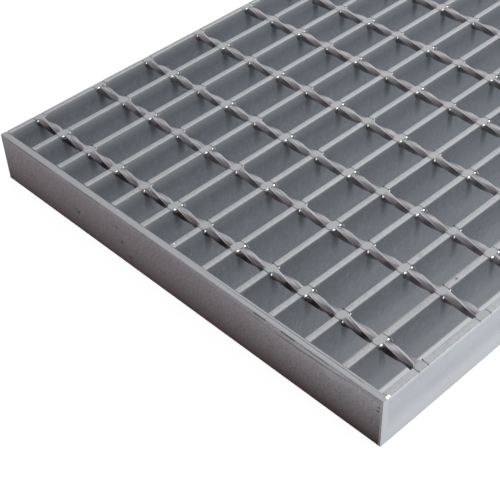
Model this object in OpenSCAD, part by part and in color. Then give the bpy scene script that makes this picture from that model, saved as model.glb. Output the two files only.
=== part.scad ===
// Forge-welded steel grating panel: bearing bars on edge, twisted square
// cross rods pressed flush into their top edges, and a flat band on each end.
// X runs across the bars, Y along them, Z up. The origin is the middle of the underside.

/* [Panel] */
// Number of bearing bars
bar_count = 13; // [3:1:20]
// Length over both end bands
panel_length = 600; // [300:1:1000]

/* [Bearing bars] */
// Distance between the middles of neighbouring bars
bar_pitch = 30; // [24:0.1:45]
// Thickness of a bar
bar_thickness = 5; // [3:0.1:7]
// Depth of a bar, which is the height of the panel
bar_depth = 40; // [20:0.5:60]
// Radius of the rolled edges of a bar
bar_edge = 0.6; // [0.3:0.1:1]

/* [Cross rods] */
// Distance between the even places of neighbouring rods
rod_pitch = 52.6; // [40:0.1:110]
// From the front band's inner face to the even place of the first rod
first_rod = 30; // [20:0.1:45]
// Least distance from the last rod's even place to the rear band
last_rod_room = 14; // [12:0.5:30]
// Width across the flats of a rod
rod_side = 5; // [4:0.1:7]
// How far the middle of a rod lies below the walking surface
rod_sink = 2.5; // [2.2:0.1:4]
// Turn of a rod from one bar to the next, in degrees
rod_twist = 135; // [90:1:180]

/* [Forged crossings] */
// Length of the flattened pad, along the bar
pad_length = 9.6; // [8.4:0.1:13]
// How far the collar of upset steel stands out from the bar's face
collar_stand = 1.2; // [0.8:0.1:2]

/* [End bands] */
// Thickness of an end band
band_thickness = 5; // [3:0.1:8]
// Radius of the rolled edges of an end band
band_edge = 0.6; // [0.3:0.1:1]

/* [Hidden] */

// Each rod was set by hand: its stray from the even place, repeated along the panel
rod_stray = [-1.5, 3, -1.5, -0.5, 1.5, -2, 1.5];
// and its turn at the first bar, in degrees
rod_turn = [8, 38, 0, 0, 55, 0, 45];
// Steps of a rod's twist between two collars
span_steps = 5;
// How far a rod runs into a collar past its face
rod_bite = 0.7;

panel_width = (bar_count - 1) * bar_pitch + bar_thickness;
bar_length = panel_length - 2 * band_thickness;
rod_count = floor((bar_length - first_rod - last_rod_room) / rod_pitch) + 1;

// Section of a rod: a square, its corners this far from the middle
corner_reach = rod_side / sqrt(2);
section_sides = 4;
// A rod's rings begin and end this far from the middle of a bar
ring_start = bar_thickness / 2 + collar_stand - rod_bite;

function bar_x(bar) = (bar - (bar_count - 1) / 2) * bar_pitch;
function stray(row) = rod_stray[row % len(rod_stray)];
function turn(row) = rod_turn[row % len(rod_turn)];
function rod_y(row) = first_rod + row * rod_pitch + stray(row) - bar_length / 2;
// Angle of a rod's section at a distance along it from the first bar
function rod_angle(row, along) = turn(row) + rod_twist * along / bar_pitch;

// One ring of the rod, with no corner above the walking surface
function rod_ring(row, along) = [
    for (side = [0 : section_sides - 1])
        let (a = rod_angle(row, along) + 45 + 90 * side)
            [along, corner_reach * cos(a), min(corner_reach * sin(a) - rod_sink, 0)]
];
function ring_faces(step) = [
    for (side = [0 : section_sides - 1])
        let (
            here = step * section_sides,
            there = here + section_sides,
            next = (side + 1) % section_sides
        )
            each [[here + side, there + side, there + next], [here + side, there + next, here + next]]
];

// Section of a rolled flat bar, its lower left corner at the origin
module flat_section(thickness, depth, edge) {
    translate([edge, 0]) square([thickness - 2 * edge, depth]);
    translate([0, edge]) square([thickness, depth - 2 * edge]);
    for (y = [edge, thickness - edge], z = [edge, depth - edge])
        translate([y, z]) circle(r = edge, $fn = 24);
}

module bearing_bar() {
    rotate([90, 0, 0])
        linear_extrude(height = bar_length, center = true)
            translate([-bar_thickness / 2, 0])
                flat_section(bar_thickness, bar_depth, bar_edge);
}

// The twisted stretch of a rod between two neighbouring bars
module rod_span(row, bar) {
    start = bar * bar_pitch + ring_start;
    step = (bar_pitch - 2 * ring_start) / span_steps;
    last = span_steps * section_sides;
    points = [for (i = [0 : span_steps]) each rod_ring(row, start + i * step)];
    near_end = [[for (side = [0 : section_sides - 1]) side]];
    far_end = [[for (side = [section_sides - 1 : -1 : 0]) last + side]];
    sides = [for (i = [0 : span_steps - 1]) each ring_faces(i)];
    translate([bar_x(0), 0, bar_depth])
        polyhedron(points = points, faces = concat(near_end, sides, far_end));
}

// Steel upset round a rod where it is forged into a bar: round below the rod,
// straight up beside it, and pressed flat at the walking surface
module collar_section() {
    reach = pad_length / 2;
    intersection() {
        union() {
            circle(r = reach, $fn = 48);
            translate([-reach, 0]) square([pad_length, rod_sink]);
        }
        translate([-reach, -reach]) square([pad_length, reach + rod_sink]);
    }
}

module forged_collar() {
    translate([0, 0, bar_depth - rod_sink])
        rotate([90, 0, 90])
            linear_extrude(height = bar_thickness + 2 * collar_stand, center = true)
                collar_section();
}

// The crossings of one rod, its ends trimmed flush with the outer bars
module trimmed_collars(row) {
    intersection() {
        for (bar = [0 : bar_count - 1])
            translate([bar_x(bar), rod_y(row), 0]) forged_collar();
        translate([-panel_width / 2, -panel_length / 2, 0])
            cube([panel_width, panel_length, bar_depth]);
    }
}

module cross_rod(row) {
    for (bar = [0 : bar_count - 2])
        translate([0, rod_y(row), 0]) rod_span(row, bar);
    trimmed_collars(row);
}

module bar_grid() {
    color("silver") {
        for (bar = [0 : bar_count - 1]) translate([bar_x(bar), 0, 0]) bearing_bar();
        for (row = [0 : rod_count - 1]) cross_rod(row);
    }
}

// A flat bar across the ends of the bearing bars, its inner face on their ends
module end_band() {
    rotate([90, 0, 90])
        linear_extrude(height = panel_width, center = true)
            translate([bar_length / 2, 0])
                flat_section(band_thickness, bar_depth, band_edge);
}

module front_band() {
    color("gray") mirror([0, 1, 0]) end_band();
}

module rear_band() {
    color("gray") end_band();
}

bar_grid();
front_band();
rear_band();
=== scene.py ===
import math

import bmesh
import bpy
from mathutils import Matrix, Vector


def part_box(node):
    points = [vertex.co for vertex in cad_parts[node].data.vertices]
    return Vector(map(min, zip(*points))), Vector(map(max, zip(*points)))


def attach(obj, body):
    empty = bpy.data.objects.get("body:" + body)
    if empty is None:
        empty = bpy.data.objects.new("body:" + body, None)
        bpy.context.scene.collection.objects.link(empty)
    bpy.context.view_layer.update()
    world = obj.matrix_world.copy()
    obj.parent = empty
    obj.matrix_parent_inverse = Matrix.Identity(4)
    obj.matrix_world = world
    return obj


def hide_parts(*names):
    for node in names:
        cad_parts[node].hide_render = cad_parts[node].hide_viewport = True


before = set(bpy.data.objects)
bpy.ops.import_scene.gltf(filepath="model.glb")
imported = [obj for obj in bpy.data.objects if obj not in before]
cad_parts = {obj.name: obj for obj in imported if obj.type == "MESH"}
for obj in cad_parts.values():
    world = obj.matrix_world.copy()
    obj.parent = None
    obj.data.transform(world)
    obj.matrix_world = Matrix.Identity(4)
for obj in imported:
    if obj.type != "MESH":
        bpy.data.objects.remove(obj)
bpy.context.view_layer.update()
mm = 0.001
touch = 0.05 * mm  # closer than this is at the same place

# where the CAD puts things; the rods' places follow the same rule as in the model
gridLow, gridHigh = (Vector(corner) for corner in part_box("bar_grid"))
panel = {
    "bars": 13,
    "barThickness": 5 * mm,
    "barStray": [0, -0.2, -0.5, -0.2, -0.4, 0.35, 0.1, 0.3, 0.5, -0.25, -0.1, -0.3, 0],  # mm
    "rodPitch": 52.6 * mm,
    "firstRod": 30 * mm,
    "lastRodRoom": 14 * mm,
    "rodStray": [-1.2, 3, -1.5, -0.3, 1.7, -1.8, 1.5],  # mm, row by row, repeated
    "rodTurn": [-6, 36, -11, -9, 43, -12, 50],  # degrees at the first bar, repeated likewise
    "rodSink": 2.5 * mm,
    "twistPerBar": 135,  # degrees
    "rodSkew": math.radians(0.43),  # the rods lie a little askew to the bands
    "padReach": {"cornerUp": (3.4 * mm, 5.0 * mm), "flatUp": (3.2 * mm, 4.1 * mm)},
}
panelWidth = gridHigh.x - gridLow.x
barLength = gridHigh.y - gridLow.y
barDepth = gridHigh.z - gridLow.z
barPitch = (panelWidth - panel["barThickness"]) / (panel["bars"] - 1)
rodRows = int((barLength - panel["firstRod"] - panel["lastRodRoom"]) / panel["rodPitch"]) + 1
barX = [
    gridLow.x + panel["barThickness"] / 2 + bar * barPitch + panel["barStray"][bar] * mm
    for bar in range(panel["bars"])
]


def rodPlace(row):
    stray = panel["rodStray"][row % len(panel["rodStray"])] * mm
    return gridLow.y + panel["firstRod"] + row * panel["rodPitch"] + stray


def rodTurn(row, bar):
    return panel["rodTurn"][row % len(panel["rodTurn"])] + panel["twistPerBar"] * bar


def crossingKind(row, bar):  # how the rod's square section lies where it crosses a bar
    return "cornerUp" if 22.5 < rodTurn(row, bar) % 90 < 67.5 else "flatUp"


def crossingPlace(row, bar):
    return barX[bar], rodPlace(row) + barX[bar] * math.tan(panel["rodSkew"])


rodY = [rodPlace(row) for row in range(rodRows)]
print("frame loaded:", panel["bars"], "bars,", rodRows, "rods")


# small helpers for modelling
def selectOnly(*objs):
    bpy.ops.object.select_all(action="DESELECT")
    for obj in objs:
        obj.select_set(True)
    bpy.context.view_layer.objects.active = objs[0]


def newPiece(name):
    obj = bpy.context.object
    obj.name = name
    obj.data.name = name
    return obj


def settle(obj):
    selectOnly(obj)
    bpy.ops.object.transform_apply(location=True, rotation=True, scale=True)


def edit(obj, kind="VERT"):
    selectOnly(obj)
    bpy.ops.object.mode_set(mode="EDIT")
    bpy.ops.mesh.select_mode(type=kind)
    bpy.ops.mesh.select_all(action="DESELECT")


def done():
    bpy.ops.object.mode_set(mode="OBJECT")


def pick(obj, kind, test):
    bpy.ops.mesh.select_all(action="DESELECT")
    mesh = bmesh.from_edit_mesh(obj.data)
    for part in {"VERT": mesh.verts, "EDGE": mesh.edges, "FACE": mesh.faces}[kind]:
        if test(part):
            part.select_set(True)
    mesh.select_flush_mode()
    bmesh.update_edit_mesh(obj.data)


def runsAlong(axis):
    def test(edge):
        run = edge.verts[1].co - edge.verts[0].co
        return abs(run.normalized()[axis]) > 0.99
    return test


def cutAcross(obj, axis, places):
    direction = [0, 0, 0]
    direction[axis] = 1
    for place in places:
        point = [0, 0, 0]
        point[axis] = place
        bpy.ops.mesh.select_all(action="SELECT")
        bpy.ops.mesh.bisect(plane_co=point, plane_no=direction)


def applied(obj, kind, **settings):
    selectOnly(obj)
    bpy.ops.object.modifier_add(type=kind)
    modifier = obj.modifiers[-1]
    for key, value in settings.items():
        setattr(modifier, key, value)
    bpy.ops.object.modifier_apply(modifier=modifier.name)


def copyOf(obj, name):
    twin = obj.copy()
    twin.data = obj.data.copy()
    twin.name = name
    bpy.context.collection.objects.link(twin)
    return twin


def joined(objs, name):
    selectOnly(*objs)
    bpy.ops.object.join()
    return newPiece(name)


def paint(obj, name, value):  # one number per vertex, for a finish to read
    layer = obj.data.attributes.new(name, "FLOAT", "POINT")
    layer.data.foreach_set("value", [value(vert.co) for vert in obj.data.vertices])


def roughen(piece, name, look):  # pushes the surface in by clouds of a size
    texture = bpy.data.textures.new(name, "CLOUDS")
    texture.noise_scale = look["unevenSize"]
    texture.noise_depth = 2
    applied(
        piece, "DISPLACE", texture=texture, strength=look["uneven"], mid_level=look["unevenLevel"],
        texture_coords="LOCAL",
    )


def smooth(obj, angle):
    selectOnly(obj)
    bpy.ops.object.shade_smooth_by_angle(angle=math.radians(angle))


# shader maths, written as expressions on sockets
class Value:
    def __init__(self, graph, socket):
        self.graph = graph
        self.socket = socket

    def maths(self, operation, *others):
        return self.graph.node("ShaderNodeMath", {"operation": operation}, (self, *others))

    def __add__(self, other):
        return self.maths("ADD", other)

    __radd__ = __add__

    def __sub__(self, other):
        return self.maths("SUBTRACT", other)

    def __rsub__(self, other):
        return self.graph.node("ShaderNodeMath", {"operation": "SUBTRACT"}, (other, self))

    def __mul__(self, other):
        return self.maths("MULTIPLY", other)

    __rmul__ = __mul__

    def __truediv__(self, other):
        return self.maths("DIVIDE", other)

    def off(self, place):  # distance to either side of a place
        return (self - place).maths("ABSOLUTE")

    def about(self, place, whole, end):  # 1 within a distance of a place, 0 from a greater one on
        return 1 - self.off(place).between(whole, end)

    def line(self, place, half):  # 1 on a thin line, 0 beside it
        return self.about(place, half * 0.4, half)

    def between(self, low, high):  # 0 below low, 1 above high, smooth in the middle
        return self.graph.node(
            "ShaderNodeMapRange", {"interpolation_type": "SMOOTHSTEP"},
            {"Value": self, "From Min": low, "From Max": high},
        )


class Graph:
    def __init__(self, tree):
        self.tree = tree

    def node(self, kind, settings=None, inputs=None, output=0):
        made = self.tree.nodes.new(kind)
        for key, value in (settings or {}).items():
            if key == "stops":
                self.setStops(made.color_ramp, value)
            else:
                setattr(made, key, value)
        pairs = inputs.items() if isinstance(inputs, dict) else enumerate(inputs or ())
        for key, value in pairs:
            self.feed(made.inputs[key], value)
        if isinstance(output, tuple):
            return [Value(self, made.outputs[name]) for name in output]
        return Value(self, made.outputs[output])

    def setStops(self, ramp, stops):
        while len(ramp.elements) < len(stops):
            ramp.elements.new(0.5)
        for element, (place, colour) in zip(ramp.elements, stops):
            element.position = place
            element.color = colour

    def feed(self, socket, value):
        if isinstance(value, Value):
            self.tree.links.new(value.socket, socket)
        else:
            socket.default_value = value


class Finish(Graph):
    def __init__(self, name):
        self.material = bpy.data.materials.new(name)
        self.material.use_nodes = True
        super().__init__(self.material.node_tree)
        self.shader = self.tree.nodes["Principled BSDF"]
        self.place = self.node("ShaderNodeTexCoord", output="Object")
        self.x, self.y, self.z = self.axes(self.place)
        self.right, self.back, self.up = self.axes(self.node("ShaderNodeNewGeometry", output="Normal"))

    def axes(self, vector):
        return self.node("ShaderNodeSeparateXYZ", {}, (vector,), ("X", "Y", "Z"))

    def painted(self, name):
        return self.node("ShaderNodeAttribute", {"attribute_name": name}, None, 2)

    def spot(self, place, radius):  # 1 at a place on the surface, 0 from the radius on
        gap = self.node(
            "ShaderNodeVectorMath", {"operation": "DISTANCE"}, {0: self.place, 1: place}, 1
        )
        return 1 - gap.between(radius * 0.3, radius)

    def underTop(self, reach):  # 0 from so far below the top down, 1 from so near it up
        far, near = reach
        return self.z.between(barDepth - far, barDepth - near)

    def noise(self, scale, detail, roughness, stretch=(1, 1, 1), turn=(0, 0, 0)):
        place = self.node(
            "ShaderNodeMapping", {}, {"Vector": self.place, "Scale": stretch, "Rotation": turn}
        )
        return self.node(
            "ShaderNodeTexNoise", {},
            {"Vector": place, "Scale": scale, "Detail": detail, "Roughness": roughness},
        )

    def blend(self, mask, first, second):
        return self.node(
            "ShaderNodeMix", {"data_type": "RGBA"},
            {"Factor": mask, 6: first, 7: second}, 2,
        )

    def washed(self, mask, colour, wash):
        depth, tint = wash
        return self.blend(mask * depth, colour, tint)

    def wash(self, mask, wash):
        self.colour = self.washed(mask, self.colour, wash)

    def bump(self, height, distance):
        return self.node("ShaderNodeBump", {}, {"Height": height, "Distance": distance})

    def wear(self, sockets):
        for name, value in sockets.items():
            self.feed(self.shader.inputs[name], value)
        return self.material


def grey(level, warmth=0.0, violet=0.0):
    return (level * (1 + warmth), level * (1 - violet), level * (1 - warmth), 1)


# the camera
view = {
    "place": (0.4326, -0.6244, 0.5178),
    "turn": (45.229, 2.410, 46.266),
    "lens": 81.08,
    "shift": (0.0284, 0.1168),
}
cameraData = bpy.data.cameras.new("camera")
camera = bpy.data.objects.new("camera", cameraData)
bpy.context.collection.objects.link(camera)
camera.location = view["place"]
camera.rotation_euler = [math.radians(angle) for angle in view["turn"]]
cameraData.lens = view["lens"]
cameraData.sensor_width = 36
cameraData.shift_x, cameraData.shift_y = view["shift"]
bpy.context.scene.camera = camera

# bearing bars
barLook = {
    "edge": 0.22 * mm,
    "ringEvery": 12 * mm,
    "shoulder": 3 * mm,  # a cut this far below the top keeps the grooves' creases off the faces
    "grooveWide": 0.9 * mm,  # the groove at each end of a forged pad
    "grooveDeep": 0.4 * mm,
    "padDrop": 0.2 * mm,  # the bar's own top lies this far below a pad's
    "creaseBelow": 1.2 * mm,  # how near the top the corners that a groove moves lie
    "padBelow": 0.3 * mm,
    "openEnds": 5,  # bars from the left whose front ends aren't welded over
    "openGap": 0.55 * mm,
    "uneven": 0.12 * mm,
    "unevenSize": 25 * mm,
    "unevenLevel": 1.0,
    "smooth": 35,  # degrees
}


def cutSeats(bar, number):
    look = barLook
    gap = look["grooveWide"] / 2
    seats = []
    for row in range(rodRows):
        half = panel["padReach"][crossingKind(row, number)][1]
        seats.append((crossingPlace(row, number)[1], half))
    ends = [y + side * half for y, half in seats for side in (-1, 1)]

    def inGroove(place):
        high = place.z > barDepth - look["creaseBelow"]
        return high and min(abs(place.y - end) for end in ends) < touch

    def underPad(place):
        below = any(abs(place.y - y) < half - gap + touch for y, half in seats)
        return below and place.z > barDepth - look["padBelow"]

    edit(bar)
    cutAcross(bar, 1, [end + offset for end in ends for offset in (-gap, 0, gap)])
    pick(bar, "VERT", lambda vert: inGroove(vert.co))
    bpy.ops.transform.translate(value=(0, 0, -look["grooveDeep"]))
    pick(bar, "VERT", lambda vert: underPad(vert.co))
    bpy.ops.transform.translate(value=(0, 0, -look["padDrop"]))
    done()
    # the groove corners are marked so that the finish can paint shade into the grooves
    paint(bar, "crease", lambda place: 1.0 if inGroove(place) else 0.0)
    paint(bar, "across", lambda place: place.x - barX[number])


def makeBars():
    look = barLook
    bpy.ops.object.select_all(action="DESELECT")
    bpy.ops.mesh.primitive_cube_add(size=1, location=(0, 0, barDepth / 2))
    bar = newPiece("bar")
    bar.scale = (panel["barThickness"], barLength, barDepth)
    settle(bar)
    edit(bar, "EDGE")
    pick(bar, "EDGE", runsAlong(1))
    bpy.ops.mesh.bevel(offset=look["edge"], segments=2, affect="EDGES")
    cutAcross(bar, 2, [barDepth - look["shoulder"]])
    steps = int(barLength / look["ringEvery"])
    cutAcross(bar, 1, [gridLow.y + step * look["ringEvery"] for step in range(1, steps)])
    done()
    bars = []
    for number, x in enumerate(barX):
        twin = copyOf(bar, "bar")
        twin.location.x = x
        settle(twin)
        cutSeats(twin, number)
        bars.append(twin)
    bpy.data.objects.remove(bar)
    for loose in bars[:look["openEnds"]]:
        edit(loose)
        pick(loose, "VERT", lambda vert: vert.co.y < gridLow.y + touch)
        bpy.ops.transform.translate(value=(0, look["openGap"], 0))
        done()
    piece = joined(bars, "bearingBars")
    roughen(piece, "rolled", look)
    smooth(piece, look["smooth"])
    return piece


bearingBars = makeBars()
print("bearing bars made:", len(bearingBars.data.polygons), "faces")

# twisted cross rods
rodLook = {
    "side": 5.9 * mm,
    "corner": 0.65 * mm,
    "ridge": 0.6,  # share of a corner's rounding that lies beyond its ridge
    "seam": 0.75 * math.pi,  # the angle where the count round a rod begins
    "stepsPerBar": 15,
    "endShort": 0.4 * mm,  # the cut ends lie this far inside the outer bars' faces
    "flush": 0.05 * mm,
    # distance from a bar and how much the rod is spread there, where it is pressed in
    "flare": {
        "cornerUp": [(3.1 * mm, 1.06)],
        "flatUp": [(6.5 * mm, 1.03), (4.6 * mm, 1.06), (2.6 * mm, 1.08)],
    },
    "uneven": 0.2 * mm,
    "unevenSize": 7 * mm,
    "unevenLevel": 1.0,
    "smooth": 50,  # degrees
}


def makeRods():
    look = rodLook
    bpy.ops.object.select_all(action="DESELECT")
    bpy.ops.mesh.primitive_cube_add(size=1, location=(0, 0, 0))
    rod = newPiece("rod")
    rod.scale = (panelWidth - 2 * look["endShort"], look["side"], look["side"])
    settle(rod)
    edit(rod, "EDGE")
    pick(rod, "EDGE", runsAlong(0))
    bpy.ops.mesh.bevel(offset=look["corner"], segments=3, affect="EDGES")
    pick(rod, "EDGE", runsAlong(0))
    bpy.ops.mesh.subdivide(number_cuts=look["stepsPerBar"] * (panel["bars"] - 1) - 1)
    done()
    ridge = look["side"] / 2 - look["ridge"] * look["corner"]
    paint(rod, "ridge", lambda place: 1.0 if min(abs(place.y), abs(place.z)) > ridge else 0.0)
    paint(rod, "around", lambda place: (math.atan2(place.z, place.y) + look["seam"]) % (2 * math.pi))
    turns = math.radians(panel["twistPerBar"]) * rod.dimensions.x / barPitch
    applied(rod, "SIMPLE_DEFORM", deform_method="TWIST", deform_axis="X", angle=turns)
    rods = []
    top = panel["rodSink"] - look["flush"]
    for row, y in enumerate(rodY):
        twin = copyOf(rod, "rod")
        twin.rotation_euler.x = math.radians(rodTurn(row, (panel["bars"] - 1) / 2))
        settle(twin)
        edit(twin)
        for kind, steps in look["flare"].items():
            crossed = [x for bar, x in enumerate(barX) if crossingKind(row, bar) == kind]
            for reach, spread in steps:
                pick(twin, "VERT", lambda vert: min(abs(vert.co.x - x) for x in crossed) < reach)
                bpy.ops.transform.resize(value=(1, spread, spread), center_override=(0, 0, 0))
        pick(twin, "VERT", lambda vert: vert.co.z > top)
        bpy.ops.transform.resize(value=(1, 1, 0), center_override=(0, 0, top))
        done()
        twin.location = (0, y, barDepth - panel["rodSink"])
        twin.rotation_euler.z = panel["rodSkew"]
        settle(twin)
        paint(twin, "lean", lambda place: (place.y - y - place.x * math.tan(panel["rodSkew"])) / mm)
        rods.append(twin)
    bpy.data.objects.remove(rod)
    piece = joined(rods, "crossRods")
    roughen(piece, "hammered", look)
    smooth(piece, look["smooth"])
    return piece


crossRods = makeRods()
print("cross rods made:", len(crossRods.data.polygons), "faces")

# forged crossings: a flattened pad, a collar of upset steel round the rod on each side, its knuckles
crossingLook = {
    "padThick": 1.3 * mm,
    "padSides": 8,
    "padRim": 0.22 * mm,
    "collarWide": {"cornerUp": 4.6 * mm, "flatUp": 4.4 * mm},  # radius at the bar's face
    "collarNarrow": 3.0 * mm,
    "collarReach": 2.6 * mm,
    "collarWaist": 0.9,
    "collarSides": 14,
    "collarDrop": 0.9 * mm,  # how far its top lies below the pad's, and how much that tilts
    "collarTilt": 0.22,
    "collarShine": (0.7, 0.1),  # at the bar's face, and away from it
    # beads of upset steel: out from the bar's right face, along it, down and size, mm,
    # then how drawn out, its turn in degrees and its shine
    "knuckles": {
        "cornerUp": [
            (0.8, 3.6, 0.6, 0.76, 1.5, -70, 1),
            (2.4, 4.7, 0.3, 0.4, 5.5, -32, 0.3),
            (0.8, -2.8, 0.6, 1.0, 1.35, 80, 1),
        ],
        "flatUp": [
            (0.8, 3.8, 0.5, 0.65, 2.2, -60, 0.55),
            (1.4, -3.5, 0.9, 0.8, 1.7, -55, 0.7),
            (-5.2, 4.6, 0.1, 0.65, 1, 0, -1),
        ],
    },
    "uneven": 0.35 * mm,
    "unevenSize": 3 * mm,
    "unevenLevel": 0.7,
    "pressFrom": 0.18 * mm,  # what lies this near the top is pressed flat there, to so much of its height
    "pressAt": 0.03 * mm,
    "pressTo": 0.05,
    "smooth": 40,  # degrees
    "trim": 0.25 * mm,  # cut off this far inside the outer bars' faces
    "spatter": [(-0.9, -292.3, 39.4, 0.7)],  # drops of weld: place and radius, mm
}


def makePad(reach):
    look = crossingLook
    turn = math.pi / look["padSides"]
    bpy.ops.object.select_all(action="DESELECT")
    bpy.ops.mesh.primitive_cylinder_add(
        vertices=look["padSides"], radius=1 / math.cos(turn), depth=look["padThick"],
        location=(0, 0, -look["padThick"] / 2), rotation=(0, 0, turn),
    )
    pad = newPiece("pad")
    settle(pad)
    pad.scale = (reach[0], reach[1], 1)
    settle(pad)
    edit(pad, "FACE")
    pick(pad, "FACE", lambda face: face.normal.z > 0.9)
    bpy.ops.mesh.inset(thickness=look["padRim"])
    bpy.ops.transform.translate(value=(0, 0, look["padRim"]))
    bpy.ops.mesh.select_all(action="SELECT")
    bpy.ops.transform.translate(value=(0, 0, -look["padRim"]))
    done()
    paint(pad, "shine", lambda place: 0.0)
    return pad


def makeCollar(kind, side):
    look = crossingLook
    reach = look["collarReach"]
    margin = 0.1 * reach
    shineAtFace, shineBeyond = look["collarShine"]
    axis = (0, 0, -panel["rodSink"])
    face = panel["barThickness"] / 2
    bpy.ops.object.select_all(action="DESELECT")
    bpy.ops.mesh.primitive_cone_add(
        vertices=look["collarSides"], radius1=look["collarWide"][kind], radius2=look["collarNarrow"],
        depth=reach, location=(side * (face + reach / 2), 0, axis[2]), rotation=(0, side * math.pi / 2, 0),
    )
    collar = newPiece("collar")
    settle(collar)
    edit(collar, "EDGE")
    pick(collar, "EDGE", lambda edge: abs(edge.verts[0].co.x - edge.verts[1].co.x) > 0.5 * reach)
    bpy.ops.mesh.subdivide(number_cuts=2)
    pick(collar, "VERT", lambda vert: margin < abs(vert.co.x) - face < reach - margin)
    bpy.ops.transform.resize(value=(1, look["collarWaist"], look["collarWaist"]), center_override=axis)
    bpy.ops.mesh.select_all(action="SELECT")
    bpy.ops.mesh.bisect(
        plane_co=(0, 0, -look["collarDrop"]), plane_no=(0, -side * look["collarTilt"], 1),
        clear_outer=True, use_fill=True,
    )
    done()
    paint(collar, "shine", lambda place: shineAtFace if abs(place.x) - face < margin else shineBeyond)
    return collar


def makeKnuckle(place, size, drawn=1.1, turn=90, shine=1.0):
    bpy.ops.object.select_all(action="DESELECT")
    bpy.ops.mesh.primitive_uv_sphere_add(segments=8, ring_count=5, radius=size)
    knuckle = newPiece("knuckle")
    knuckle.scale = (drawn, 1, 1)
    knuckle.rotation_euler.z = math.radians(turn)
    knuckle.location = place
    settle(knuckle)
    paint(knuckle, "shine", lambda place: shine)
    return knuckle


def makeCrossing(kind):
    look = crossingLook
    face = panel["barThickness"] / 2
    parts = [makePad(panel["padReach"][kind]), makeCollar(kind, -1), makeCollar(kind, 1)]
    for out, along, down, size, *form in look["knuckles"][kind]:
        parts.append(makeKnuckle((face + out * mm, along * mm, -down * mm), size * mm, *form))
    return joined(parts, kind)


def makeCrossings():
    look = crossingLook
    masters = {kind: makeCrossing(kind) for kind in ("cornerUp", "flatUp")}
    crossings = []
    for row in range(rodRows):
        for bar in range(panel["bars"]):
            twin = copyOf(masters[crossingKind(row, bar)], "crossing")
            twin.location = (*crossingPlace(row, bar), barDepth)
            crossings.append(twin)
    for master in masters.values():
        bpy.data.objects.remove(master)
    for *place, size in look["spatter"]:
        crossings.append(makeKnuckle([number * mm for number in place], size * mm))
    piece = joined(crossings, "forgedCrossings")
    settle(piece)
    roughen(piece, "upset", look)
    # pressed flat at the top, and cut off at the outer bars
    edit(piece)
    pick(piece, "VERT", lambda vert: vert.co.z > barDepth - look["pressFrom"])
    centre = (0, 0, barDepth - look["pressAt"])
    bpy.ops.transform.resize(value=(1, 1, look["pressTo"]), center_override=centre)
    for outward, face in ((-1, gridLow.x), (1, gridHigh.x)):
        bpy.ops.mesh.select_all(action="SELECT")
        bpy.ops.mesh.bisect(
            plane_co=(face - outward * look["trim"], 0, 0), plane_no=(outward, 0, 0),
            clear_outer=True, use_fill=True,
        )
    done()
    smooth(piece, look["smooth"])
    return piece


forgedCrossings = makeCrossings()
print("crossings made:", len(forgedCrossings.data.polygons), "faces")


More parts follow.
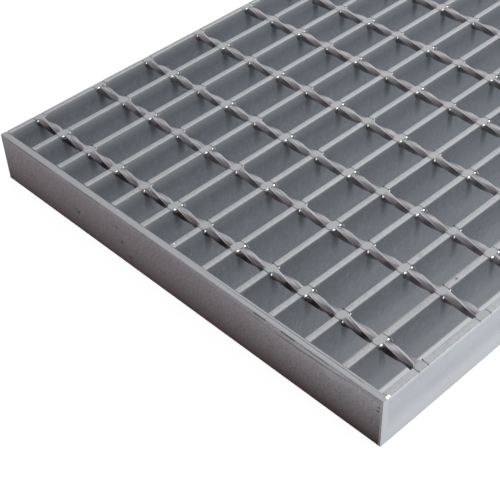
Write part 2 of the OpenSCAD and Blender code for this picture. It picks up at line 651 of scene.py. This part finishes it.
# finishes: a noise is its count, detail and roughness, a wash its depth and tint,
# and other pairs are where something begins and where it is whole
barFinish = {
    "broad": (14, 4, 0.6),
    "streak": (260, 3, 0.6),
    "grain": (1400, 2, 0.6),
    "scratch": (300, 2, 0.5),
    "fleck": (560, 3, 0.65),
    "mottle": (210, 5, 0.75),
    "level": (0.35 * mm, 0.2 * mm),  # below the top, as the painted light near the top and the painted shade under the rods are
    "edgeShade": (1.85 * mm, 2.1 * mm),  # right of a bar's middle
    # where the painted highlight along a top begins, is whole, fades and ends, right of its middle
    "highlightAcross": (0.1 * mm, 0.7 * mm, 1.2 * mm, 1.9 * mm),
    # how far below the top the faces are painted lighter, as light from above
    "upperLitReach": (10 * mm, 3 * mm),
    "nearTopLitReach": (4.5 * mm, 0.5 * mm),
    # how far below the top the painted shade under the rods reaches
    "rodShade": (26 * mm, 7 * mm),
    "rodShadeWide": (1 * mm, 4.8 * mm),  # to either side of a rod
    "spareOuter": 0.85,  # how little of the mottling the outer faces have
    # where a noise counts
    "patchAt": (0.3, 0.7),
    "darkMottleAt": (0.5, 0.66),
    "blueMottleAt": (0.52, 0.66),
    "scratchAt": (0.6, 0.75),
    "speckAt": (0.62, 0.7),
    "darkMarkAt": (0.6, 0.68),
    "topFleckAt": (0.36, 0.64),
    # reaches across the panel, along it and up its faces
    "darkAcross": (-150 * mm, 60 * mm),
    "upperLitAcross": (-60 * mm, 70 * mm),
    "nearTopLitAcross": (-120 * mm, 60 * mm),
    "nearTopLitShare": (0.7, 0.2),  # at the left, and at the right
    # where the faces are painted lighter low down, as light bounced up from the floor
    "bounceAcross": (80 * mm, 140 * mm),
    "bounceUp": (8 * mm, 22 * mm),
    "footUp": (0, 34 * mm),
    "rearAlong": (-250 * mm, -30 * mm),
    "steel": (grey(0.385, -0.075, 0.02), grey(0.445, -0.07, 0.02)),
    "darkRight": (0.1, grey(0.1)),
    "darkMottle": (0.26, grey(0.2, -0.06)),
    "blueMottle": (0.36, (0.5, 0.55, 0.68, 1)),
    "scratchDepth": 0.12,
    "speckDepth": 0.42,
    "lightMarks": (1, grey(0.8)),
    "darkMarks": (0.4, grey(0.12)),
    # painted light on the upper parts of the faces
    "upperLit": (0.85, grey(0.6, -0.04)),
    "nearTopLit": (1, grey(0.85, -0.03)),
    "darkFoot": (0.26, grey(0.1)),
    "bounceLit": (0.3, grey(0.7, -0.03)),
    "paleRear": (0.13, (0.76, 0.84, 0.97, 1)),
    # painted shade under the rods
    "darkened": (0.8, grey(0.09)),
    # the tops' colours, painted lighter than the faces as light from above
    "topColour": (grey(0.515, -0.025, 0.02), grey(0.43, -0.025, 0.02)),
    "topRear": (0.5, grey(0.44, -0.06)),
    "highlighted": (0.3, grey(0.6, -0.025, 0.02)),
    # painted shade on the tops' right edges
    "edgeShaded": (1, grey(0.17, -0.045)),
    "creaseShaded": (0.9, grey(0.05)),
    "polished": (1, grey(0.9)),
    # marks on the bars' tops: place, radius and depth of colour
    "marks": [
        ((149.3 * mm, -194 * mm, 40 * mm), 1.5 * mm, 0.75),
        ((119.8 * mm, -193 * mm, 40 * mm), 2.6 * mm, 0.3),
    ],
    "glint": ((181.7 * mm, -294.4 * mm, 40 * mm), 1.3 * mm),  # where the right corner's weld is polished
    "metallic": 0.3,
    "rough": 0.42,
    "roughStreak": 0.16,
    "glintPolish": 0.3,
    "relief": 0.06 * mm,
}


def barSteel():
    f = Finish("barSteel")
    look = barFinish
    broad, grain, fleck, mottle = (f.noise(*look[name]) for name in ("broad", "grain", "fleck", "mottle"))
    streak = f.noise(*look["streak"], stretch=(1, 0.06, 1))
    scratch = f.noise(*look["scratch"], stretch=(1, 1, 0.3), turn=(0.9, 0, 0)).between(*look["scratchAt"])
    across = f.painted("across")
    outer = f.x.maths("ABSOLUTE").between(panelWidth / 2 - 1 * mm, panelWidth / 2 - 0.5 * mm)
    inner = 1 - outer * look["spareOuter"]
    lastBar = f.x.between(barX[-1] - 3 * mm, barX[-1] - 2.6 * mm)
    rear = f.y.between(*look["rearAlong"])
    # the top's right edge is painted dark, as shade on its rounding, so the lighter top stops a little short
    # of it
    level = f.underTop(look["level"])
    edgeShade = across.between(*look["edgeShade"]) * (1 - lastBar)
    top = level * (1 - edgeShade)
    f.colour = f.blend(broad.between(*look["patchAt"]), *look["steel"])
    f.wash(f.x.between(*look["darkAcross"]), look["darkRight"])
    f.wash((1 - mottle).between(*look["darkMottleAt"]) * inner, look["darkMottle"])
    f.wash(mottle.between(*look["blueMottleAt"]) * inner, look["blueMottle"])
    marked = scratch * look["scratchDepth"] + fleck.between(*look["speckAt"]) * look["speckDepth"]
    f.wash(marked * inner, look["lightMarks"])
    f.wash((1 - fleck).between(*look["darkMarkAt"]) * inner, look["darkMarks"])
    # towards the left the upper part of each face is painted lighter, as light falling into the cells from
    # above
    f.wash(f.underTop(look["upperLitReach"]) * (1 - f.x.between(*look["upperLitAcross"])), look["upperLit"])
    most, least = look["nearTopLitShare"]
    share = most - (most - least) * f.x.between(*look["nearTopLitAcross"])
    f.wash(f.underTop(look["nearTopLitReach"]) * share, look["nearTopLit"])
    f.wash((1 - f.z.between(*look["footUp"])) * outer, look["darkFoot"])
    # low on the faces towards the right, painted light bounced up from the floor
    bounce = (1 - f.z.between(*look["bounceUp"])) * f.x.between(*look["bounceAcross"])
    f.wash(bounce, look["bounceLit"])
    f.wash(rear * inner, look["paleRear"])
    # painted shade on the faces under each rod, where the rod keeps light from above off them
    skew = f.y - f.x * math.tan(panel["rodSkew"])
    nearest = skew.off(rodY[0])
    for y in rodY[1:]:
        nearest = nearest.maths("MINIMUM", skew.off(y))
    rodShade = (1 - nearest.between(*look["rodShadeWide"])) * (1 - top) * (1 - outer)
    f.wash(rodShade * f.underTop(look["rodShade"]) * (0.5 + broad), look["darkened"])
    # the tops are painted lighter than the faces, as light from above, and a painted highlight runs along a
    # line right of the middle
    topColour = f.blend(fleck.between(*look["topFleckAt"]), *look["topColour"])
    f.wash(top, (1, f.washed(rear, topColour, look["topRear"])))
    # a painted highlight along each top, right of its middle
    start, whole, fade, end = look["highlightAcross"]
    f.wash(across.between(start, whole) * (1 - across.between(fade, end)) * top, look["highlighted"])
    f.wash(edgeShade * level, look["edgeShaded"])
    for place, radius, dark in look["marks"]:
        f.wash(f.spot(place, radius), (dark, grey(0.05)))
    # the grooves at the pads' ends are painted dark, as shade in them
    f.wash(f.painted("crease"), look["creaseShaded"])
    glint = f.spot(*look["glint"])
    f.wash(glint, look["polished"])
    metallic = look["metallic"]
    return f.wear({
        "Base Color": f.colour,
        "Metallic": metallic + (1 - metallic) * glint,
        "Roughness": look["rough"] + look["roughStreak"] * streak - look["glintPolish"] * glint,
        "Normal": f.bump(streak * 0.6 + grain * 0.4, look["relief"]),
    })


rodFinish = {
    "grain": (1200, 2, 0.6),
    "patch": (90, 3, 0.6),
    # streaks that run along the twisted rod: how fast they change along it, round it and from rod to rod
    "streak": (14, 0.8, 6),
    "streakNoise": {"Scale": 4.0, "Detail": 3.0},
    "patchAt": (0.4, 0.6),
    "streakAt": (0.42, 0.6),
    "litStreakAt": (0.38, 0.62),
    "ridgeHighlightAt": (0.1, 0.5),  # how far a ridge looks up where its painted highlight begins and where it is whole
    "behind": 10 * mm,  # from the first rod back, and from the second forward
    "litTurn": (0.3, 1.05),  # lighter where a face looks up or to the rear, as painted light; brown scale elsewhere, left darker as painted shade
    "rear": 0.8,
    "lean": 0.3,
    "uneven": 0.3,
    "shadeBelow": (-0.9, -0.25),
    "shadeBelowBehind": 0.4,  # how dark the painted shade is on the rods behind the first
    "scale": ((0.17, 0.12, 0.13, 1), (0.14, 0.117, 0.13, 1)),
    "streaked": (1, (0.3, 0.265, 0.29, 1)),
    "cooler": (0.6, (0.28, 0.27, 0.3, 1)),  # from the first rod to the third
    "shadedBelow": (1, (0.025, 0.019, 0.018, 1)),
    "litColours": (grey(0.36, -0.015, 0.024), grey(0.6, -0.026, 0.024)),
    "ridgeHighlight": (0.45, grey(0.62, -0.026, 0.024)),
    "metallic": 0.12,
    "ridgeHighlightMetallic": 0.25,
    "rough": 0.36,
    "roughGrain": 0.2,
    "relief": 0.18 * mm,
}


def rodSteel():
    f = Finish("rodSteel")
    look = rodFinish
    along, around, apart = look["streak"]
    course = f.node(
        "ShaderNodeCombineXYZ", {}, (f.x * along, f.painted("around") * around, f.y * apart)
    )
    streak = f.node("ShaderNodeTexNoise", {}, {"Vector": course, **look["streakNoise"]})
    grain, patch = (f.noise(*look[name]) for name in ("grain", "patch"))
    turned = f.up + f.back * look["rear"] + f.painted("lean") * look["lean"] + look["uneven"] * (patch - 0.5)
    behind = f.y.between(rodY[0] + look["behind"], rodY[1] - look["behind"])
    ridgeHighlight = f.painted("ridge") * f.up.between(*look["ridgeHighlightAt"])
    f.colour = f.blend(patch.between(*look["patchAt"]), *look["scale"])
    f.wash(streak.between(*look["streakAt"]), look["streaked"])
    f.wash(f.y.between(rodY[0], rodY[2]), look["cooler"])
    # faces turned down or to the front are painted near black, as shade, less so on the rods behind the
    # first
    shadeBelow = (1 - turned.between(*look["shadeBelow"])) * (1 - behind * (1 - look["shadeBelowBehind"]))
    f.wash(shadeBelow, look["shadedBelow"])
    # faces that look up or to the rear are painted lighter grey, as light falling on them
    litColours = f.blend(streak.between(*look["litStreakAt"]), *look["litColours"])
    f.wash(turned.between(*look["litTurn"]), (1, litColours))
    # ridges that look up get a painted highlight
    f.wash(ridgeHighlight, look["ridgeHighlight"])
    return f.wear({
        "Base Color": f.colour,
        "Metallic": look["metallic"] + look["ridgeHighlightMetallic"] * ridgeHighlight,
        "Roughness": look["rough"] + look["roughGrain"] * grain,
        "Normal": f.bump(streak * 0.7 + grain * 0.3, look["relief"]),
    })


crossingFinish = {
    "grain": (900, 3, 0.6),
    "steel": (grey(0.52, -0.022, 0.012), grey(0.45, -0.022, 0.012)),
    "shiny": (1, grey(0.85, -0.01)),
    "side": (0.85, grey(0.07)),
    "underShade": (0.9, grey(0.03)),
    "darkened": (1, grey(0.03)),
    # the painted shine from which metal is polished, from which its sides are spared the painted shade, and
    # that of the dark spots
    "shinyAt": (0.3, 0.8),
    "unshadedSideAt": (0.4, 0.9),
    "darkSpotAt": (-0.9, -0.3),
    # how far a face looks up where it is no longer a side, or no longer the underside; sides and undersides
    # are painted dark, as shade
    "sideAt": (0.2, 0.7),
    "underShadeAt": (-0.4, 0.1),
    "metallic": 0.3,
    "rough": 0.5,
    "roughGrain": 0.1,
    "shinyPolish": 0.34,
    "relief": 0.06 * mm,
}


def crossingSteel():
    f = Finish("crossingSteel")
    look = crossingFinish
    grain = f.noise(*look["grain"])
    shine = f.painted("shine")
    shiny = shine.between(*look["shinyAt"])
    side = (1 - f.up.between(*look["sideAt"])) * (1 - shine.between(*look["unshadedSideAt"]))
    f.colour = f.blend(grain, *look["steel"])
    f.wash(shiny, look["shiny"])
    # sides and undersides of the crossings are painted dark, as shade
    f.wash(side, look["side"])
    f.wash(1 - f.up.between(*look["underShadeAt"]), look["underShade"])
    # knuckles painted with a negative shine are dark spots
    f.wash(1 - shine.between(*look["darkSpotAt"]), look["darkened"])
    metallic = look["metallic"]
    return f.wear({
        "Base Color": f.colour,
        "Metallic": (metallic + (1 - metallic) * shiny) * (1 - side),
        "Roughness": look["rough"] - look["shinyPolish"] * shiny + look["roughGrain"] * grain,
        "Normal": f.bump(grain, look["relief"]),
    })


bandFinish = {
    "broad": (18, 4, 0.6),
    "grain": (700, 3, 0.6),
    "fine": (620, 3, 0.7),
    "wave": (22, 2, 0.5),
    "ragged": (120, 2, 0.5),
    "lean": 0.55,  # how far the brushed marks lean to the right
    "brushed": {"Scale": 260.0, "Detail": 4.0, "Roughness": 0.65},
    "mottleAt": (0.5, 0.7),
    "speckleAt": (0.5, 0.68),
    "paleMottleUp": (0, 25 * mm),
    "paleSpeckleUp": (0, 20 * mm),
    "rightAcross": (10 * mm, 150 * mm),
    # marks of grinding, down from the top edge and across; a place comes before its two half widths
    "rubDown": (1.4 * mm, 2.2 * mm, 3.6 * mm, 4.6 * mm),
    "markWave": 3.5 * mm,  # how far the rub and the scar wander
    "markRise": (125 * mm, 170 * mm),  # across, where they climb towards the edge
    "markClimb": 2 * mm,
    "rubPlace": (134 * mm, 13 * mm, 26 * mm),
    "scarDown": (5.0 * mm, 0.8 * mm),
    "scarAcross": (20 * mm, 70 * mm),
    "scarPlace": (125 * mm, 16 * mm, 34 * mm),
    "dripPlace": (143 * mm, 33 * mm),
    "dripWide": (4 * mm, 16 * mm),
    "edgeDarkDown": (0.9 * mm, 0.75 * mm),
    "seamAcross": (180.6 * mm, 181.4 * mm),
    "topAcross": (-220 * mm, 220 * mm),
    "groovePlace": (-296.8 * mm, 0.35 * mm),
    "grooveWave": 1.2 * mm,
    "grooveStart": (-20 * mm, 110 * mm),
    "grooveEnd": (163 * mm, 168 * mm),
    # colours up the face, at the left and at the right, as heights and colours; the face is painted darker
    # towards the bottom, as shade, and lighter high up at the right, as painted light
    "left": [
        (0.05, (0.073, 0.043, 0.045, 1)), (0.125, (0.17, 0.118, 0.13, 1)), (0.225, (0.221, 0.177, 0.19, 1)),
        (0.35, (0.295, 0.253, 0.262, 1)), (0.55, (0.4, 0.35, 0.378, 1)), (0.75, (0.48, 0.428, 0.46, 1)),
        (0.88, (0.54, 0.5, 0.535, 1)), (0.96, (0.66, 0.625, 0.66, 1)),
    ],
    "right": [
        (0.05, (0.043, 0.017, 0.02, 1)), (0.125, (0.112, 0.078, 0.08, 1)), (0.225, (0.2, 0.163, 0.17, 1)),
        (0.35, (0.302, 0.261, 0.277, 1)), (0.55, (0.44, 0.406, 0.436, 1)), (0.75, (0.65, 0.612, 0.65, 1)),
        (0.88, (0.8, 0.77, 0.81, 1)), (0.96, (0.86, 0.83, 0.87, 1)),
    ],
    "darkMottle": (0.16, grey(0.12)),
    "paleMottle": (0.12, grey(0.75)),
    "darkSpeckle": (0.4, grey(0.1)),
    "paleSpeckle": (0.3, grey(0.8)),
    "rubbed": (0.7, grey(1.0, 0, 0.02)),
    "scarred": (1, grey(0.1)),
    "dripped": (0.5, grey(0.85, 0, 0.02)),
    "seam": (0.6, grey(0.8)),
    "top": (grey(0.7, -0.02, 0.02), grey(0.91, -0.03, 0.02)),
    "topGrain": (0.3, grey(0.6, -0.02, 0.02)),
    "grooved": (0.6, grey(0.1)),
    "ends": (1, grey(0.46, -0.045)),
    "polished": (1, grey(0.9)),
    # dark stretches just under the top edge: place and half length, mm, and depth of colour
    "edgeDarks": [
        (-150, 34, 0.55), (-85, 22, 0.4), (-20, 16, 0.3), (85, 6.5, 0.95), (108.5, 7, 0.95), (132, 11, 0.55),
        (160, 12, 0.25), (176, 7, 0.4),
    ],
    # pits in the face: place and radius, mm, and depth of colour
    "pits": [
        ((-95.5, -300, 16.5), 2.2, 0.8), ((-98.5, -300, 17.5), 2.4, 0.35), ((-48, -300, 17.5), 2.4, 0.65),
        ((-149, -300, 20.5), 2.6, 0.3), ((-52, -300, 28), 2.2, 0.3), ((-40, -300, 8), 3.0, 0.5),
        ((93, -300, 24.5), 1.4, 0.35), ((179.6, -300, 33), 1.4, 0.7), ((179.0, -300, 29.5), 1.5, 0.7),
    ],
    "glint": ((181.9 * mm, -295.9 * mm, 40 * mm), 1.4 * mm),
    "metallic": 0.03,
    "glintMetallic": 0.9,
    "rough": 0.5,
    "roughGrain": 0.15,
    "glintPolish": 0.3,
    "mirror": 0.15,
    "relief": 0.15 * mm,
}


def bandSteel():
    f = Finish("bandSteel")
    look = bandFinish
    broad, grain, fine = (f.noise(*look[name]) for name in ("broad", "grain", "fine"))
    wave, ragged = (f.noise(*look[name], stretch=(1, 0, 0)) for name in ("wave", "ragged"))
    leaning = f.node("ShaderNodeCombineXYZ", {}, (f.x - f.z * look["lean"], f.y, f.z * 0.3))
    mottle = f.node("ShaderNodeTexNoise", {}, {"Vector": leaning, **look["brushed"]})
    height = f.z / barDepth + 0.1 * (broad - 0.5)
    left, right = (
        f.node("ShaderNodeValToRGB", {"stops": look[end]}, {"Fac": height}) for end in ("left", "right")
    )
    # painted shade darkens the face towards the bottom, and painted light brightens its upper right
    f.colour = f.blend(f.x.between(*look["rightAcross"]), left, right)
    f.wash(mottle.between(*look["mottleAt"]), look["darkMottle"])
    f.wash(fine.between(*look["speckleAt"]), look["darkSpeckle"])
    paleSpeckle = (1 - fine).between(*look["speckleAt"]) * f.z.between(*look["paleSpeckleUp"])
    f.wash(paleSpeckle, look["paleSpeckle"])
    paleMottle = (1 - mottle).between(*look["mottleAt"]) * f.z.between(*look["paleMottleUp"])
    f.wash(paleMottle, look["paleMottle"])
    # marks of grinding under the top edge
    climb = f.x.between(*look["markRise"]) * look["markClimb"]
    fall = barDepth - f.z + (wave - 0.5) * look["markWave"] + climb
    start, whole, fade, end = look["rubDown"]
    rub = fall.between(start, whole) * (1 - fall.between(fade, end))
    f.wash(rub * f.x.about(*look["rubPlace"]), look["rubbed"])
    scar = fall.line(*look["scarDown"]) * f.x.between(*look["scarAcross"])
    f.wash(scar * (0.25 + 0.4 * f.x.about(*look["scarPlace"])), look["scarred"])
    dripAcross, dripUp = look["dripPlace"]
    drip = (f.x.off(dripAcross) + f.z.off(dripUp) * 2.5).between(*look["dripWide"])
    f.wash(1 - drip, look["dripped"])
    # dark stretches just under the top edge
    for place, half, dark in look["edgeDarks"]:
        edgeDark = f.x.about(place * mm, 0.6 * half * mm, half * mm)
        edgeDark = edgeDark * (barDepth - f.z).line(*look["edgeDarkDown"])
        f.wash(edgeDark * (0.6 + 0.6 * ragged), (dark, grey(0.05)))
    pits = 0
    for place, radius, dark in look["pits"]:
        pit = f.spot([number * mm for number in place], radius * mm) * dark * (0.6 + grain * 0.8)
        f.wash(pit, (1, grey(0.03)))
        pits = pit + pits
    f.wash(f.x.between(*look["seamAcross"]), look["seam"])
    # the top, and the ends that are ground flush with the outer bars
    top = f.up.between(0.6, 0.9)
    topColour = f.blend(f.x.between(*look["topAcross"]), *look["top"])
    f.wash(top, (1, f.washed(grain, topColour, look["topGrain"])))
    groove = (f.y + (wave - 0.5) * look["grooveWave"]).line(*look["groovePlace"])
    groove = groove * f.x.between(*look["grooveStart"]) * top
    f.wash(groove * (1 - f.x.between(*look["grooveEnd"])), look["grooved"])
    f.wash(f.right.maths("ABSOLUTE").between(0.6, 0.9), look["ends"])
    glint = f.spot(*look["glint"])
    f.wash(glint, look["polished"])
    return f.wear({
        "Base Color": f.colour,
        "Metallic": look["metallic"] + look["glintMetallic"] * glint,
        "Roughness": look["rough"] + look["roughGrain"] * grain - look["glintPolish"] * glint,
        "Specular IOR Level": look["mirror"],
        "Normal": f.bump(grain * 0.5 + mottle * 0.5 - pits * 2.0 - groove, look["relief"]),
    })


finishes = {
    "bars": barSteel(), "rods": rodSteel(), "crossings": crossingSteel(), "bands": bandSteel(),
}
for piece, finish, slot in (
    (bearingBars, "bars", "bar_steel"),
    (crossRods, "rods", "bar_steel"),
    (forgedCrossings, "crossings", "bar_steel"),
):
    piece.data.materials.clear()
    piece.data.materials.append(finishes[finish])
    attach(piece, "root")
    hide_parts("bar_grid")
for name in ("front_band", "rear_band"):
    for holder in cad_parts[name].material_slots:
        holder.material = finishes["bands"]
print("finishes set")

# floor, world and lamps
studio = {
    "floorSize": 8,
    "floorColour": 0.4,
    "floorGlow": 0.9,  # lifts the floor to white where it is looked at or mirrored
    "shadeGlow": 0.5,  # less so where it is seen between the bars
    "footShade": (1.4 * mm, 2.4 * mm),  # close by a bar's foot that light is weaker still
    "footLeast": 0.35,
    "footShift": 1 * mm,
    "floorBelow": 0.1 * mm,
    "world": 0.28,
    "lamps": {
        "sideLamp": {"place": (2.2, 0.1, 0.045), "wide": 1.8, "high": 0.08, "watts": 40},
        "backLamp": {"place": (-1.0, 1.6, 2.0), "wide": 1.6, "high": 1.2, "watts": 21},
    },
}


def whereShown(graph, looked=1.0, mirrored=1.0):
    rays = ("Is Camera Ray", "Is Glossy Ray", "Is Transmission Ray")
    camera, glossy, through = graph.node("ShaderNodeLightPath", output=rays)
    return (camera * looked).maths("MAXIMUM", glossy.maths("MAXIMUM", through) * mirrored)


def makeFloor():
    bpy.ops.object.select_all(action="DESELECT")
    bpy.ops.mesh.primitive_plane_add(size=studio["floorSize"], location=(0, 0, -studio["floorBelow"]))
    floor = newPiece("studioFloor")
    settle(floor)
    f = Finish("floorPaper")
    f.wear({"Base Color": grey(studio["floorColour"]), "Roughness": 0.9})
    glow, shade = studio["floorGlow"], studio["shadeGlow"]
    lit = f.node("ShaderNodeEmission", {}, {"Strength": whereShown(f, glow, glow)})
    foot = (f.x - gridLow.x - panel["barThickness"] + studio["footShift"]).maths("MODULO", barPitch)
    least = studio["footLeast"]
    foot = least + (1 - least) * foot.between(*studio["footShade"])
    shown = whereShown(f, shade * foot, glow)
    dim = f.node("ShaderNodeEmission", {}, {"Color": grey(1, -0.03), "Strength": shown})
    across = f.x.maths("ABSOLUTE").maths("LESS_THAN", panelWidth / 2)
    along = f.y.maths("ABSOLUTE").maths("LESS_THAN", barLength / 2)
    light = f.node("ShaderNodeMixShader", {}, (across * along, lit, dim))
    whole = f.node("ShaderNodeAddShader", {}, (Value(f, f.shader.outputs[0]), light))
    f.feed(f.tree.nodes["Material Output"].inputs["Surface"], whole)
    floor.data.materials.append(f.material)


def makeWorld():
    world = bpy.data.worlds.new("studioWorld")
    bpy.context.scene.world = world
    world.use_nodes = True
    graph = Graph(world.node_tree)
    back = graph.tree.nodes["Background"]
    back.inputs["Color"].default_value = grey(1)
    graph.feed(back.inputs["Strength"], whereShown(graph).maths("MAXIMUM", studio["world"]))


def makeLamps():
    for name, lamp in studio["lamps"].items():
        data = bpy.data.lights.new(name, "AREA")
        data.shape = "RECTANGLE"
        data.size = lamp["wide"]
        data.size_y = lamp["high"]
        data.energy = lamp["watts"]
        light = bpy.data.objects.new(name, data)
        bpy.context.collection.objects.link(light)
        place = Vector(lamp["place"])
        light.location = place
        light.rotation_euler = (-place).to_track_quat("-Z", "Y").to_euler()


makeFloor()
makeWorld()
makeLamps()
bpy.context.scene.view_settings.view_transform = "Standard"
print("studio set")
